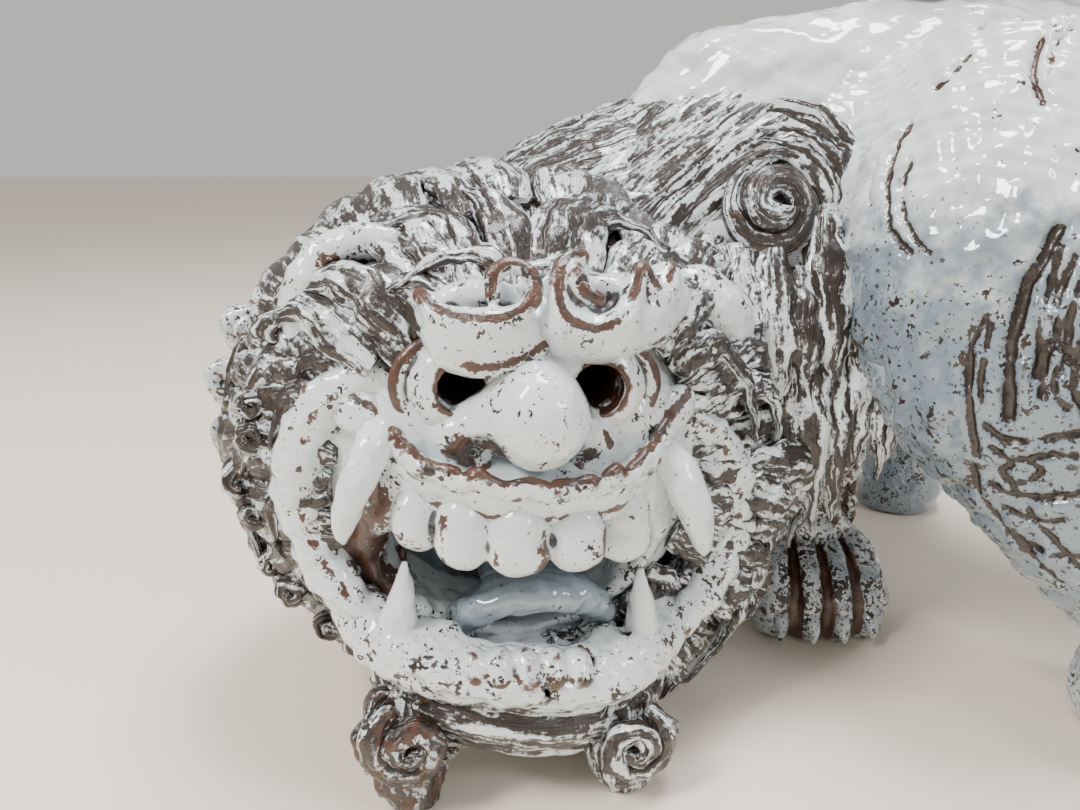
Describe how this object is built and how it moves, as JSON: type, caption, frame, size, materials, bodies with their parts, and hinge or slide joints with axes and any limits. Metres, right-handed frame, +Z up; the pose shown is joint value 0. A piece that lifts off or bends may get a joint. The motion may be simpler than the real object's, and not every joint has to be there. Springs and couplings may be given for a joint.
{
  "type": "guardian lion figurine",
  "caption": "Glazed stoneware guardian lion, crouching on its forelegs with the head turned to the front, mouth open, curled mane and raised tail.",
  "frame": {"origin": "middle of the figure's bounding box, on the surface it stands on", "axes": "+Z up; the body lies along X with the hips at +X and the shoulders at -X; the face looks towards -Y"},
  "size_m": [0.3785, 0.2815, 0.3209],
  "materials": {
    "glaze_white": "Thick glossy white glaze that shows reddish-brown where it runs thin over edges",
    "glaze_mane": "Glossy white glaze on the ridges of engraved hair, dark brown in the grooves",
    "glaze_dark": "Thin glossy glaze over dark brown stoneware, mostly brown with white runs",
    "glaze_teeth": "Glossy white glaze, brown at the rims",
    "glaze_mouth": "Glossy blue-grey glaze, darker towards the back"
  },
  "bodies": {
    "root": {"torso": "glaze_white", "mane_mantle": "glaze_mane", "skull": "glaze_white", "mouth_lining": "glaze_mouth", "lower_jaw": "glaze_white", "muzzle": "glaze_white", "upper_lip": "glaze_white", "nose": "glaze_white", "eye_left": "glaze_white", "eye_right": "glaze_white", "brow_left": "glaze_white", "brow_right": "glaze_white", "ear_left": "glaze_white", "ear_right": "glaze_white", "cheek_left": "glaze_white", "cheek_right": "glaze_white", "upper_teeth": "glaze_teeth", "lower_teeth": "glaze_teeth", "upper_fang_left": "glaze_teeth", "upper_fang_right": "glaze_teeth", "lower_fang_left": "glaze_teeth", "lower_fang_right": "glaze_teeth", "tongue": "glaze_mouth", "chin_beard": "glaze_mane", "beard_curl_left": "glaze_dark", "beard_curl_right": "glaze_dark", "beard_locks_left": "glaze_mane", "beard_locks_right": "glaze_mane", "mane_ruff": "glaze_mane", "crown_locks": "glaze_mane", "mane_locks_left": "glaze_mane", "mane_locks_right": "glaze_mane", "mane_back_left": "glaze_mane", "mane_back_right": "glaze_mane", "mane_curls_left": "glaze_mane", "mane_curls_right": "glaze_mane", "nape_locks": "glaze_mane", "shoulder_locks_left": "glaze_mane", "shoulder_locks_right": "glaze_mane", "shoulder_curl_left": "glaze_dark", "shoulder_curl_right": "glaze_dark", "front_leg_left": "glaze_dark", "front_leg_right": "glaze_dark", "front_paw_left": "glaze_dark", "front_paw_right": "glaze_dark", "front_claws_left": "glaze_teeth", "front_claws_right": "glaze_teeth", "hind_leg_left": "glaze_white", "hind_leg_right": "glaze_white", "hind_paw_left": "glaze_dark", "hind_paw_right": "glaze_dark", "hind_claws_left": "glaze_teeth", "hind_claws_right": "glaze_teeth", "hind_tuft_left": "glaze_dark", "hind_tuft_right": "glaze_dark", "tail_root": "glaze_white", "tail_plume": "glaze_mane", "tail_curl": "glaze_mane"}
  },
  "joints": []
}
